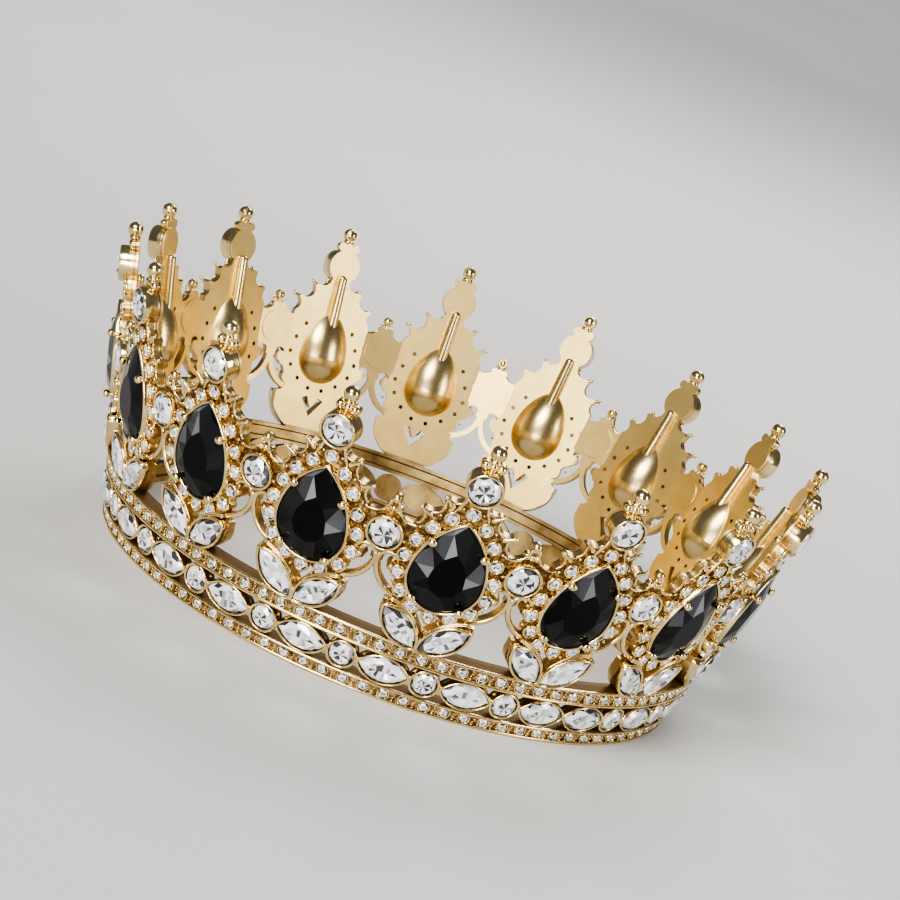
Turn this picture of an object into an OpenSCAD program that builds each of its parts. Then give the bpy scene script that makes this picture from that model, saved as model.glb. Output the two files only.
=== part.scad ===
// Rhinestone crown: a closed ring band with sixteen pear stone panels that flare outward.
// Panel sizes are given along the slope of the wall: u to the right, s up, n outward.

/* [Crown] */
// Outer diameter of the band at its foot
base_d = 160; // [156:0.5:164]
// Outward lean of the wall in degrees
flare = 15; // [14:0.5:16]

/* [Band] */
// Height of the lower rail
low_rail_h = 4.6; // [4.4:0.1:4.8]
// Height at which the upper rail starts
up_rail_s = 13; // [12.8:0.1:13.1]
// Height of the top of the upper rail
up_rail_top = 17.8; // [17.6:0.1:18]
// Thickness of the raised rail edges beyond the rail floor
rail_lip = 0.5; // [0.3:0.1:0.7]

/* [Pear panel] */
// Width of the black pear stone
pear_w = 18; // [17.6:0.1:18.2]
// Length of the black pear stone
pear_l = 25.3; // [25:0.1:25.5]
// Height of the pear's round end centre
pear_s = 38.8; // [38.6:0.1:39]
// Width of the stone ring around the pear
halo_w = 3.3; // [3.1:0.1:3.5]
// Height of the centre of the spire stone
spire_s = 65.8; // [65.5:0.1:66]
// Height of the centre of the top ball
ball_s = 74.9; // [74.7:0.1:75.1]

/* [Joiner] */
// Height of the centre of the joiner stone
join_s = 45.1; // [44.9:0.1:45.3]
// Height of the centre of the small top ball
join_ball_s = 54.1; // [54:0.1:54.3]

/* [Settings] */
// Wall of a stone setting
wall = 0.6; // [0.5:0.05:0.7]
// Play between a stone and its setting
play = 0.15; // [0.12:0.01:0.18]
// Radius of the large round stones
round_r = 3.95; // [3.9:0.01:4]

/* [Hidden] */
$fn = 64;
units = 16;
step = 360 / units;
r0 = base_d / 2 - 2.3;
gold = [0.83, 0.69, 0.45];
black = [0.03, 0.03, 0.035];
clear = [0.88, 0.92, 0.95];
// Plate faces, as heights above the wall's middle surface
plate_back = -1.9;
plate_front = 0.3;
// Panels stand a little behind the wall's middle surface
panel_n = -0.3;
// Ring of small stones: how many, their line outside the pear, and the bump round each
halo_n = 16;
halo_d = 2.6;
halo_bump_r = 1.95;
// Pear outline: one round end and two side arcs that meet at the point
pear_r = pear_w / 2;
pear_h = pear_l - pear_r;
side_r = (pear_h * pear_h + pear_r * pear_r) / pear_w;
side_x = side_r - pear_r;
// Thorns on each side of a panel and the round bites between them, and the neck's bite
thorn_in = [6.9, 59.4];
thorn_out = [11.5, 54.9];
neck_bite = [5.2, 61.6];
neck_bite_r = 2.3;
thorn_bite = [9.6, 57.4];
thorn_bite_r = 2.5;
side_bite = [12.9, 52.8];
side_bite_r = 2.2;
thorn_root = [12.2, 47.4];
neck_foot = [2.2, 60.6];
// Half width of the neck at its top and at its root, the drop of its top under the spire
// stone's centre, and the height of its root
neck_top_u = 2.5;
neck_drop = 3;
neck_root_u = 4.3;
neck_root_s = 56;
// Knob on the panel's edge that the end of a scroll curls round
knob_u = 13;
knob_s = 36.9;
knob_r = 1.4;
// Solder spot where the scroll, the panel and the leaf wire meet
spot_u = 8.4;
spot_s = 29.2;
spot_r = 1.2;
// Drop-shaped bowl behind the pear: round end, height of its point, depth of its axis
bowl_r = 8.3;
bowl_h = 16.5;
bowl_s = 39;
bowl_axis = 1.9;
bowl_in = -6.6;
// Small blind holes round the bowl: u and s on one side of the panel
hole_spots = [[7.5, 47.6], [9.6, 43.3], [10.4, 39], [9.3, 35.2], [6.2, 31.9], [2.2, 29.8]];
hole_r = 0.6;
hole_floor = -1.05;
// Rib from the bowl up to the spire stone
rib_s = 48;
rib_l = 14;
rib_n = -2.6;
rib_low_r = 1.6;
rib_high_r = 1.3;
// Backs of the leaves: plate, round bosses, and the V cut between them
leaf_plate = [[-6, 30], [6, 30], [6.5, 22], [4.4, 17.1], [-4.4, 17.1], [-6.5, 22]];
lobe = [7.1, 24.7];
lobe_r = 4.6;
v_cut = [[-3.6, 26.9], [-1.7, 27.6], [0, 24.4], [1.7, 27.6], [3.6, 26.9], [0, 21.9]];
// Bead rows under the balls: height, bead radius and spacing
beads_s = 71.3;
bead_r = 1.25;
bead_gap = 2;
small_beads_s = 51.3;
small_bead_r = 0.9;
small_bead_gap = 1.4;
ball_r = 2;
small_ball_r = 1.4;
ball_n = -0.6;
// Bar, foot of the plate behind it, post and disc of a finial, as shares of a bead or a ball
bar_k = 0.8;
plate_k = 1.6;
post_k = 0.5;
disc_k = 0.87;
// Collar between two panels: half width, foot, top and the round bites of its top
collar_u = 6.4;
collar_s = 40.2;
collar_top = 50.8;
collar_bite = [5.2, 53.6];
collar_bite_r = 4.1;
collar_back = -1.6;
collar_t = 1.25;
// Scrolls under the collar: inner curl and outer sweep, each centre and radius
curl = [3.05, 37.6];
curl_r = 2.6;
sweep = [9.2, 37.6];
sweep_r = 8.9;
curl_w = 1.1;
sweep_w = 1.4;
curl_span = [-20, 150];
sweep_span = [-84, 8];
scroll_back = -1.5;
scroll_t = 1.9;
// Bridge between the two scrolls and the collar
bridge = [3.2, 3.7];
bridge_s = 37.2;
// Wire along the upper edge of a leaf: centre, radius, angles it spans, width and thickness
leaf_wire = [12.8, 15.8];
leaf_wire_r = 13.45;
leaf_wire_span = [100, 160];
leaf_wire_w = 1;
leaf_wire_t = 3.2;
// Cups of the stones, each from its back to its rim, with the height of the pocket's floor
pear_cup = [-1.9, 2.2, -0.5];
spire_cup = [-2, 2.7, 0];
join_cup = [-1.9, 1.8, -0.3];
leaf_cup = [-1.9, 2.4, 0.35];
marq_cup = [-1.3, 1.8, -0.4];
rnd_cup = [-1.2, 1.7, -0.4];
// Cut stones: heights of the foot, the lower and upper girdle and the table
pear_cut = [-0.35, 1.6, 2.1, 4];
spire_cut = [0.15, 1.9, 2.3, 3.5];
join_cut = [-0.15, 1.1, 1.5, 2.7];
leaf_cut = [0.45, 1.6, 2, 3.2];
marq_cut = [-0.25, 1, 1.4, 2.6];
rnd_cut = [-0.25, 0.9, 1.3, 2.4];
// Scales of the foot and of the table of a cut stone, and the sides of its outline
pear_scale = [0.35, 0.55];
round_scale = [0.3, 0.55];
leaf_scale = [0.3, 0.5];
round_m = 10;
rnd_m = 9;
leaf_m = 5;
// Height of a pear's middle, to which its table narrows, above its round end's centre
pear_mid = 1.5;
// Rail section: inner face, groove in it, outer face, and the widths of its edges
rail_in = -2.2;
rail_groove = -1.4;
rail_out = 1.3;
rail_foot_w = 0.9;
rail_top_w = 0.6;
groove_w = 1.3;
rail_sides = 128;
// Tab that holds a marquise cup between the rails: width, length, thickness, foot
tab = [3, 10.4, 0.8];
tab_s = 3.6;
tab_n = -1.25;
// Leaf stones under the pear: centre, turn, half length and half width, and what their
// cup and pocket are longer by at each tip
leaf_u = 5.75;
leaf_s = 22.3;
leaf_turn = 40.3;
leaf_a = 6.7;
leaf_b = 3.15;
leaf_tip = 1.1;
leaf_tip_play = 0.3;
// Band stones: marquises and rounds in turn, with one place where two marquises meet
band_s = 8.8;
marq_n = 24;
rnd_n = 23;
seam = -90 + 31.7;
seam_half = 4.8;
band_step = (360 - 2 * seam_half) / rnd_n;
marq_a = 6.3;
marq_b = 3.55;
marq_wall = 0.4;
marq_tip = 0.7;
marq_tip_play = 0.2;
rnd_r = 3.2;

// A point of the wall's section: s up the slope, n outward
function wall_pt(s, n) = [r0 + s * sin(flare) + n * cos(flare), s * cos(flare) - n * sin(flare)];

// Centre azimuth of band marquise i and of band round i
function marq_az(i) = seam + seam_half + i * band_step;
function rnd_az(i) = seam + seam_half + (i + 0.5) * band_step;

// Radius of the arcs of a leaf outline with half length a and half width b
function leaf_r(a, b) = (a * a + b * b) / (2 * b);

// Points around a pear, a leaf and a round stone
function pear_pts() = concat(
    [[0, pear_s + pear_h]],
    [for (i = [3, 2, 1]) side_pt(i / 4)],
    [for (i = [0 : 8]) [pear_r * cos(22.5 * i), pear_s - pear_r * sin(22.5 * i)]],
    [for (i = [1, 2, 3]) mirror_pt(side_pt(i / 4))]
);
function side_pt(t) = let (a = t * acos(side_x / side_r))
    [side_r * cos(a) - side_x, pear_s + side_r * sin(a)];
function mirror_pt(p) = [-p[0], p[1]];
function leaf_pts(a, b, m) = let (r = leaf_r(a, b), w = asin(a / r)) concat(
    [for (i = [0 : m - 1]) let (t = -w + 2 * w * i / m) [r * sin(t), r * cos(t) - (r - b)]],
    [for (i = [0 : m - 1]) let (t = -w + 2 * w * i / m) [-r * sin(t), (r - b) - r * cos(t)]]
);
function round_pts(r, m) = [for (i = [0 : m - 1]) [r * cos(360 * i / m), -r * sin(360 * i / m)]];

// Points along the ring of small stones, t from 0 at the point to 1 all the way round
function halo_len(d) = let (a = acos(side_x / (side_r + d)))
    2 * PI * (side_r + d) * a / 180 + PI * (pear_r + d);
function halo_pt(d, t) = t > 0.5 ? mirror_pt(halo_pt(d, 1 - t)) :
    let (a = acos(side_x / (side_r + d)), l = t * halo_len(d), side = PI * (side_r + d) * a / 180)
    l < side ?
        let (b = a - 180 * l / (PI * (side_r + d)))
            [(side_r + d) * cos(b) - side_x, pear_s + (side_r + d) * sin(b)] :
        let (b = 180 * (l - side) / (PI * (pear_r + d)))
            [(pear_r + d) * cos(b), pear_s - (pear_r + d) * sin(b)];

// Stands a drawing on the sloping wall at an azimuth: x is u, y is s, z is n
module on_wall(az) {
    rotate([0, 0, az])
        translate([r0, 0, 0])
            rotate([0, flare, 0])
                rotate([90, 0, 90])
                    children();
}

module on_unit(k) {
    on_wall(-90 + step * k)
        translate([0, 0, panel_n])
            children();
}

module on_joiner(k) {
    on_wall(-90 + step * (k + 0.5))
        children();
}

module on_leaf(side) {
    translate([side * leaf_u, leaf_s, 0])
        rotate([0, 0, side * leaf_turn])
            children();
}

module pear2d(d) {
    translate([0, pear_s])
        circle(pear_r + d);
    intersection() {
        translate([-side_x, pear_s])
            circle(side_r + d);
        translate([side_x, pear_s])
            circle(side_r + d);
        translate([-30, pear_s])
            square([60, 40]);
    }
}

module leaf2d(a, b) {
    intersection() {
        translate([0, b - leaf_r(a, b)])
            circle(leaf_r(a, b));
        translate([0, leaf_r(a, b) - b])
            circle(leaf_r(a, b));
    }
}

// Ring sector: a wire of width w on radius r between two angles
module arc2d(r, w, a0, a1) {
    intersection() {
        difference() {
            circle(r + w / 2);
            circle(r - w / 2);
        }
        polygon([
            [0, 0],
            [3 * r * cos(a0), 3 * r * sin(a0)],
            [3 * r * cos((a0 + a1) / 2), 3 * r * sin((a0 + a1) / 2)],
            [3 * r * cos(a1), 3 * r * sin(a1)]
        ]);
    }
}

// A cut stone: rings of one outline at the heights of its cut, scaled about the point c
// with scale[0] at the foot and scale[1] at the table
module cut_stone(pts, c, cut, scale) {
    m = len(pts);
    function ring(k, z) = [for (p = pts) [c[0] + k * (p[0] - c[0]), c[1] + k * (p[1] - c[1]), z]];
    polyhedron(
        points = concat(ring(scale[0], cut[0]), ring(1, cut[1]), ring(1, cut[2]), ring(scale[1], cut[3])),
        faces = concat(
            [[for (i = [m - 1 : -1 : 0]) i]],
            [for (j = [0 : 2]) for (i = [0 : m - 1])
                [j * m + i, j * m + (i + 1) % m, (j + 1) * m + (i + 1) % m, (j + 1) * m + i]],
            [[for (i = [0 : m - 1]) 3 * m + i]]
        )
    );
}

// Flat outline of one pear panel, with its stone ring, neck, thorns and leaf backs
module panel2d() {
    difference() {
        union() {
            pear2d(halo_w);
            for (i = [0 : halo_n - 1])
                translate(halo_pt(halo_d, i / halo_n))
                    circle(halo_bump_r);
            polygon([
                [-neck_top_u, spire_s - neck_drop],
                [neck_top_u, spire_s - neck_drop],
                [neck_root_u, neck_root_s],
                [-neck_root_u, neck_root_s]
            ]);
            for (m = [0, 1])
                mirror([m, 0]) {
                    thorns2d();
                    translate([knob_u, knob_s])
                        circle(knob_r);
                    translate([spot_u, spot_s])
                        circle(spot_r);
                    translate(lobe)
                        circle(lobe_r);
                }
            polygon(leaf_plate);
        }
        polygon(v_cut);
    }
}

// The two thorns of one side, with a round bite above and between them
module thorns2d() {
    difference() {
        polygon([neck_foot, thorn_in, thorn_out, thorn_root, [0, thorn_root[1]]]);
        translate(neck_bite)
            circle(neck_bite_r);
        translate(thorn_bite)
            circle(thorn_bite_r);
        translate(side_bite)
            circle(side_bite_r);
    }
}

// Flat outline behind a row of three beads
module beads2d(s, r, gap) {
    for (i = [-1 : 1])
        translate([i * gap, s])
            circle(r);
    translate([-gap, s - plate_k * r])
        square([2 * gap, plate_k * r]);
}

// Half outline of the bowl for turning about its long axis
module bowl2d() {
    side = (bowl_h * bowl_h + bowl_r * bowl_r) / (2 * bowl_r);
    intersection() {
        union() {
            circle(bowl_r);
            intersection() {
                translate([bowl_r - side, 0])
                    circle(side);
                square([bowl_r + 1, bowl_h + 1]);
            }
        }
        translate([0, -bowl_r - 1])
            square([bowl_r + 1, bowl_r + bowl_h + 2]);
    }
}

// Flat outline of the collar that carries the joiner stone
module collar2d() {
    difference() {
        translate([-collar_u, collar_s])
            square([2 * collar_u, collar_top - collar_s]);
        for (m = [-1, 1])
            translate([m * collar_bite[0], collar_bite[1]])
                circle(collar_bite_r);
    }
}

// Flat outline of the two scrolls that meet under the collar
module scrolls2d() {
    translate([-bridge[0] / 2, bridge_s])
        square(bridge);
    for (m = [0, 1])
        mirror([m, 0]) {
            translate([-curl[0], curl[1]])
                arc2d(curl_r, curl_w, curl_span[0], curl_span[1]);
            translate([-sweep[0], sweep[1]])
                arc2d(sweep_r, sweep_w, sweep_span[0], sweep_span[1]);
        }
}

module setting(r, cup) {
    difference() {
        translate([0, 0, cup[0]])
            cylinder(r = r + play + wall, h = cup[1] - cup[0]);
        translate([0, 0, cup[2]])
            cylinder(r = r + play, h = cup[1] - cup[2] + 1);
    }
}

// A lying bar for the row of beads, with a ball on a short post above it and a flat back
module finial(s, ball, r, bead, gap, back) {
    translate([0, ball, ball_n])
        sphere(r);
    translate([-gap - bead / 2, s, ball_n])
        rotate([0, 90, 0])
            cylinder(r = bar_k * bead, h = 2 * gap + bead);
    translate([0, s - bead, ball_n])
        rotate([-90, 0, 0])
            cylinder(r = post_k * r, h = ball - s + bead);
    translate([0, 0, back])
        linear_extrude(ball_n - back)
            beads2d(s, bead, gap);
    translate([0, ball, back])
        cylinder(r = disc_k * r, h = ball_n - back);
}

module leaf_setting() {
    difference() {
        translate([0, 0, leaf_cup[0]])
            linear_extrude(leaf_cup[1] - leaf_cup[0])
                leaf2d(leaf_a + leaf_tip, leaf_b + play + wall);
        translate([0, 0, leaf_cup[2]])
            linear_extrude(leaf_cup[1] - leaf_cup[2] + 1)
                leaf2d(leaf_a + leaf_tip_play, leaf_b + play);
    }
}

module pear_panel() {
    difference() {
        union() {
            translate([0, 0, plate_back])
                linear_extrude(plate_front - plate_back)
                    panel2d();
            translate([0, 0, pear_cup[0]])
                linear_extrude(pear_cup[1] - pear_cup[0])
                    pear2d(play + wall);
        }
        translate([0, 0, pear_cup[2]])
            linear_extrude(pear_cup[1] - pear_cup[2] + 1)
                pear2d(play);
        for (spot = hole_spots)
            for (m = [-1, 1])
                translate([m * spot[0], spot[1], 2 * plate_back])
                    cylinder(r = hole_r, h = hole_floor - 2 * plate_back);
    }
    // Bowl behind the pear stone and the rib that runs up from it
    intersection() {
        translate([0, bowl_s, bowl_axis])
            rotate([-90, 0, 0])
                rotate_extrude()
                    bowl2d();
        translate([-bowl_r - 1, bowl_s - bowl_r - 1, bowl_in])
            cube([2 * bowl_r + 2, bowl_r + bowl_h + 2, plate_back + 0.3 - bowl_in]);
    }
    translate([0, rib_s, rib_n])
        rotate([-90, 0, 0])
            cylinder(r1 = rib_low_r, r2 = rib_high_r, h = rib_l);
    translate([0, rib_s + rib_l, rib_n])
        sphere(rib_high_r);
    translate([0, spire_s, 0])
        setting(round_r, spire_cup);
    finial(beads_s, ball_s, ball_r, bead_r, bead_gap, plate_back);
    for (side = [-1, 1])
        on_leaf(side)
            leaf_setting();
    // Wire along the upper edge of each leaf
    for (m = [0, 1])
        mirror([m, 0, 0])
            translate([leaf_wire[0], leaf_wire[1], -leaf_wire_t / 2])
                linear_extrude(leaf_wire_t)
                    arc2d(leaf_wire_r, leaf_wire_w, leaf_wire_span[0], leaf_wire_span[1]);
}

module joiner() {
    translate([0, 0, collar_back])
        linear_extrude(collar_t)
            collar2d();
    translate([0, 0, scroll_back])
        linear_extrude(scroll_t)
            scrolls2d();
    translate([0, join_s, 0])
        setting(round_r, join_cup);
    finial(small_beads_s, join_ball_s, small_ball_r, small_bead_r, small_bead_gap, collar_back);
}

// A quarter of a rail between two heights, with a raised lip along both edges
module rail(s0, s1, flat_foot) {
    lip = rail_out + rail_lip;
    a = flat_foot ? rail_in * tan(flare) : s0;
    b = flat_foot ? lip * tan(flare) : s0;
    rotate_extrude(angle = 90, $fn = rail_sides)
        polygon([
            wall_pt(a, rail_in),
            wall_pt(b, lip),
            wall_pt(s0 + rail_foot_w, lip),
            wall_pt(s0 + rail_foot_w, rail_out),
            wall_pt(s1 - rail_top_w, rail_out),
            wall_pt(s1 - rail_top_w, lip),
            wall_pt(s1, lip),
            wall_pt(s1, rail_in),
            wall_pt(s1 - rail_foot_w, rail_in),
            wall_pt(s1 - groove_w, rail_groove),
            wall_pt(s0 + groove_w, rail_groove),
            wall_pt(s0 + rail_foot_w, rail_in)
        ]);
}

// The tab under a marquise stone holds its setting between the two rails
module marq_setting() {
    difference() {
        translate([0, 0, marq_cup[0]])
            linear_extrude(marq_cup[1] - marq_cup[0])
                leaf2d(marq_a + marq_tip, marq_b + play + marq_wall);
        translate([0, 0, marq_cup[2]])
            linear_extrude(marq_cup[1] - marq_cup[2] + 1)
                leaf2d(marq_a + marq_tip_play, marq_b + play);
    }
    translate([-tab[0] / 2, tab_s - band_s, tab_n])
        cube(tab);
}

// A quarter of the metal: four panels and joiners with their part of the band
module quarter(q) {
    for (k = [4 * q + 2 : 4 * q + 5]) {
        on_unit(k)
            pear_panel();
        on_joiner(k)
            joiner();
    }
    rotate([0, 0, seam + 90 * q]) {
        rail(0, low_rail_h, true);
        rail(up_rail_s, up_rail_top, false);
    }
    for (i = [6 * q : 6 * q + 5])
        on_wall(marq_az(i))
            translate([0, band_s, 0])
                marq_setting();
    for (i = [6 * q : min(6 * q + 5, rnd_n - 1)])
        on_wall(rnd_az(i))
            translate([0, band_s, 0])
                setting(rnd_r, rnd_cup);
}

module frame() {
    color(gold)
        union() {
            quarter(0);
            quarter(1);
            quarter(2);
            quarter(3);
        }
}

module pear_stone(k) {
    color(black)
        on_unit(k)
            cut_stone(pear_pts(), [0, pear_s + pear_mid], pear_cut, pear_scale);
}

module spire_stone(k) {
    color(clear)
        on_unit(k)
            translate([0, spire_s, 0])
                cut_stone(round_pts(round_r, round_m), [0, 0], spire_cut, round_scale);
}

module joiner_stones() {
    color(clear)
        for (k = [0 : units - 1])
            on_joiner(k)
                translate([0, join_s, 0])
                    cut_stone(round_pts(round_r, round_m), [0, 0], join_cut, round_scale);
}

module leaf_stones() {
    color(clear)
        for (k = [0 : units - 1])
            for (side = [-1, 1])
                on_unit(k)
                    on_leaf(side)
                        cut_stone(leaf_pts(leaf_a, leaf_b, leaf_m), [0, 0], leaf_cut, leaf_scale);
}

module band_marquises() {
    color(clear)
        for (i = [0 : marq_n - 1])
            on_wall(marq_az(i))
                translate([0, band_s, 0])
                    cut_stone(leaf_pts(marq_a, marq_b, leaf_m), [0, 0], marq_cut, leaf_scale);
}

module band_rounds() {
    color(clear)
        for (i = [0 : rnd_n - 1])
            on_wall(rnd_az(i))
                translate([0, band_s, 0])
                    cut_stone(round_pts(rnd_r, rnd_m), [0, 0], rnd_cut, round_scale);
}

module pear_stone_01() { pear_stone(0); }
module pear_stone_02() { pear_stone(1); }
module pear_stone_03() { pear_stone(2); }
module pear_stone_04() { pear_stone(3); }
module pear_stone_05() { pear_stone(4); }
module pear_stone_06() { pear_stone(5); }
module pear_stone_07() { pear_stone(6); }
module pear_stone_08() { pear_stone(7); }
module pear_stone_09() { pear_stone(8); }
module pear_stone_10() { pear_stone(9); }
module pear_stone_11() { pear_stone(10); }
module pear_stone_12() { pear_stone(11); }
module pear_stone_13() { pear_stone(12); }
module pear_stone_14() { pear_stone(13); }
module pear_stone_15() { pear_stone(14); }
module pear_stone_16() { pear_stone(15); }
module spire_stone_01() { spire_stone(0); }
module spire_stone_02() { spire_stone(1); }
module spire_stone_03() { spire_stone(2); }
module spire_stone_04() { spire_stone(3); }
module spire_stone_05() { spire_stone(4); }
module spire_stone_06() { spire_stone(5); }
module spire_stone_07() { spire_stone(6); }
module spire_stone_08() { spire_stone(7); }
module spire_stone_09() { spire_stone(8); }
module spire_stone_10() { spire_stone(9); }
module spire_stone_11() { spire_stone(10); }
module spire_stone_12() { spire_stone(11); }
module spire_stone_13() { spire_stone(12); }
module spire_stone_14() { spire_stone(13); }
module spire_stone_15() { spire_stone(14); }
module spire_stone_16() { spire_stone(15); }

frame();
joiner_stones();
leaf_stones();
band_marquises();
band_rounds();
pear_stone_01();
pear_stone_02();
pear_stone_03();
pear_stone_04();
pear_stone_05();
pear_stone_06();
pear_stone_07();
pear_stone_08();
pear_stone_09();
pear_stone_10();
pear_stone_11();
pear_stone_12();
pear_stone_13();
pear_stone_14();
pear_stone_15();
pear_stone_16();
spire_stone_01();
spire_stone_02();
spire_stone_03();
spire_stone_04();
spire_stone_05();
spire_stone_06();
spire_stone_07();
spire_stone_08();
spire_stone_09();
spire_stone_10();
spire_stone_11();
spire_stone_12();
spire_stone_13();
spire_stone_14();
spire_stone_15();
spire_stone_16();
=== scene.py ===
"""Rhinestone crown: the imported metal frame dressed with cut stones, settings, wires, beads and claws.

Sizes are in millimetres and angles in degrees. A place on the sloping wall is an azimuth with u along
the wall, s up its slope and n out of its middle surface, as in the CAD source.
"""
import math
import random
from collections import namedtuple

import bpy
import numpy as np
from mathutils import Matrix, Vector


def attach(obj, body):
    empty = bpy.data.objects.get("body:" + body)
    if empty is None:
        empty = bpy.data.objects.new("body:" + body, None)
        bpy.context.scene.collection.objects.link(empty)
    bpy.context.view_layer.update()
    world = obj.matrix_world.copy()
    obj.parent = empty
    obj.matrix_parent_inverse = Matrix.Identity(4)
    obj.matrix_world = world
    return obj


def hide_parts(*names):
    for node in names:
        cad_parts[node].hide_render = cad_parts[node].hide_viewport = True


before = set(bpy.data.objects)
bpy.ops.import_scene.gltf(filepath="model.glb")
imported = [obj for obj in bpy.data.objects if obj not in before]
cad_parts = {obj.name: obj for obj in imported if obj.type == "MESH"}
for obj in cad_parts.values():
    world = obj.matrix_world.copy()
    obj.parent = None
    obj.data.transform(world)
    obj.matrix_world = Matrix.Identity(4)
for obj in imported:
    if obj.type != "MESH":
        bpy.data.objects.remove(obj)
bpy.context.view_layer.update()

# Wall: its diameter outside and the radius of its middle surface at the foot, and its outward lean
MM = 0.001
BASE_D = 160
WALL_R = BASE_D / 2 - 2.3
FLARE = math.radians(15)
SIN, COS = math.sin(FLARE), math.cos(FLARE)

# Panels, counted from the front; they stand a little behind the wall's middle surface
PANELS = 16
PANEL_STEP = 360 / PANELS
PANEL_N = -0.3
FRONT = -90

# Pear stone: half width, length and height of its round end's centre, then the arcs of its sides
PEAR_R, PEAR_L, PEAR_S = 9.0, 25.3, 38.8
PEAR_H = PEAR_L - PEAR_R
SIDE_R = (PEAR_H**2 + PEAR_R**2) / (2 * PEAR_R)
SIDE_X = SIDE_R - PEAR_R

# Large round stones of the panels (spire) and between them (joiner), and the balls above them
ROUND_R = 3.95
SPIRE_S, JOINER_S = 65.8, 45.1
BALL_S, JOINER_BALL_S = 74.9, 54.1

# Leaf stones: half length, half width, place and turn of each pair
LEAF_A, LEAF_B = 6.7, 3.15
LEAF_U, LEAF_S, LEAF_TURN = 5.75, 22.3, 40.3

# Band: marquises and round stones in turn, but for one place, the seam, where two marquises meet
BAND_S = 8.8
MARQUISES, BAND_ROUNDS = 24, 23
MARQUISE_A, MARQUISE_B, BAND_ROUND_R = 6.3, 3.55, 3.2
SEAM, SEAM_HALF = FRONT + 31.7, 4.8
BAND_STEP = (360 - 2 * SEAM_HALF) / BAND_ROUNDS

# Rails with their rows of small stones: name of the pieces, height and number of stones
Rail = namedtuple("Rail", "name s stones")
RAILS = (Rail("low_rail", 2.5, 94), Rail("up_rail", 15.3, 98))
RAIL_N = 0.9
RAIL_STONE_R = 1.24

# Halo, the ring of small stones around each pear: their number, offset from the pear, radius and height
HALO_STONES = 16
HALO_OFFSET = 2.6
HALO_STONE_R = 1.5
HALO_N = 0.35

# Sides of outlines: a pear's side arc and round end, half a leaf, and round ones
PEAR_SIDE_STEPS, PEAR_END_STEPS = 9, 18
LEAF_STEPS = 10
ROUND_STEPS, RAIL_SEAT_STEPS = 24, 18


# Places on the crown
def place(azimuth, u=0.0, s=0.0, n=0.0, turn=0.0):
    """Axes and origin of a local frame: x along the wall, y up its slope and z outward, turned about z."""
    a, t = math.radians(azimuth), math.radians(turn)
    along_wall = np.array([-math.sin(a), math.cos(a), 0.0])
    up_slope = np.array([math.cos(a) * SIN, math.sin(a) * SIN, COS])
    outward = np.array([math.cos(a) * COS, math.sin(a) * COS, -SIN])
    foot = np.array([WALL_R * math.cos(a), WALL_R * math.sin(a), 0.0])
    x = math.cos(t) * along_wall + math.sin(t) * up_slope
    y = -math.sin(t) * along_wall + math.cos(t) * up_slope
    return np.stack([x, y, outward], 1), foot + u * along_wall + s * up_slope + n * outward


def panel(k, u=0.0, s=0.0, n=0.0, turn=0.0):
    """A place on pear panel k."""
    return place(FRONT + PANEL_STEP * k, u, s, n + PANEL_N, turn)


def joiner(k, s=0.0, turn=0.0):
    """A place on the joiner after panel k."""
    return place(FRONT + PANEL_STEP * (k + 0.5), 0, s, 0, turn)


def leaf_place(k, side):
    """The middle of a leaf stone of panel k, on side -1 or 1."""
    return panel(k, side * LEAF_U, LEAF_S, 0, side * LEAF_TURN)


def band(i, turn=0.0):
    """The middle of band stone i: a marquise at a whole number, a round stone halfway to the next."""
    return place(SEAM + SEAM_HALF + i * BAND_STEP, 0, BAND_S, 0, turn)


def on_rail(rail, i, turn=0.0):
    """The foot of stone i of a rail, or a place between two."""
    return place(360 * i / rail.stones, 0, rail.s, RAIL_N, turn)


# The crown's own frame, for what is made in place
WHOLE_CROWN = (np.eye(3), np.zeros(3))


# Meshes
class Part:
    """A local mesh: points, faces and, for each face, smooth flag, shade and tilt."""

    def __init__(self):
        self.points, self.faces = [], []
        self.smooth, self.shades, self.tilts = [], [], []

    def add(self, points, faces):
        """Add smooth faces over points of their own."""
        first, count = len(self.points), len(faces)
        self.points += [tuple(float(c) for c in p) for p in points]
        self.faces += [tuple(first + i for i in face) for face in faces]
        self.smooth += [True] * count
        self.shades += [1.0] * count
        self.tilts += [(0.0, 0.0, 0.0)] * count


def make(name, placed, finish, replace=()):
    """One object of many placed parts, riding on the frame."""
    points, faces, smooth, shades, tilts, first = [], [], [], [], [], 0
    for part, (axes, origin) in placed:
        points.append(np.array(part.points) @ axes.T + origin)
        faces += [tuple(first + i for i in face) for face in part.faces]
        first += len(part.points)
        smooth += part.smooth
        shades += part.shades
        tilts.append(np.array(part.tilts) @ axes.T)
    mesh = bpy.data.meshes.new(name)
    mesh.from_pydata((np.concatenate(points) * MM).tolist(), [], faces)
    mesh.polygons.foreach_set("use_smooth", smooth)
    mesh.attributes.new("shade", "FLOAT", "FACE").data.foreach_set("value", shades)
    tilt = mesh.attributes.new("tilt", "FLOAT_VECTOR", "FACE")
    tilt.data.foreach_set("vector", np.concatenate(tilts).ravel())
    mesh.materials.append(finish.material)
    mesh.update()
    obj = bpy.data.objects.new(name, mesh)
    bpy.context.scene.collection.objects.link(obj)
    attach(obj, "root")
    if replace:
        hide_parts(*replace)


def ring_faces(rows, count):
    """Quads between closed rows of that many points each."""
    faces = []
    for row in range(rows - 1):
        for i in range(count):
            a, b = row * count + i, row * count + (i + 1) % count
            faces.append((a, b, b + count, a + count))
    return faces


def sweep(outline, profile):
    """A wall along a closed outline; the profile gives offset and height, from the outer foot inward."""
    rows = [[(x, y, height) for x, y in outline(offset)] for offset, height in profile]
    part = Part()
    part.add([p for row in rows for p in row], ring_faces(len(rows), len(rows[0])))
    return part


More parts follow.
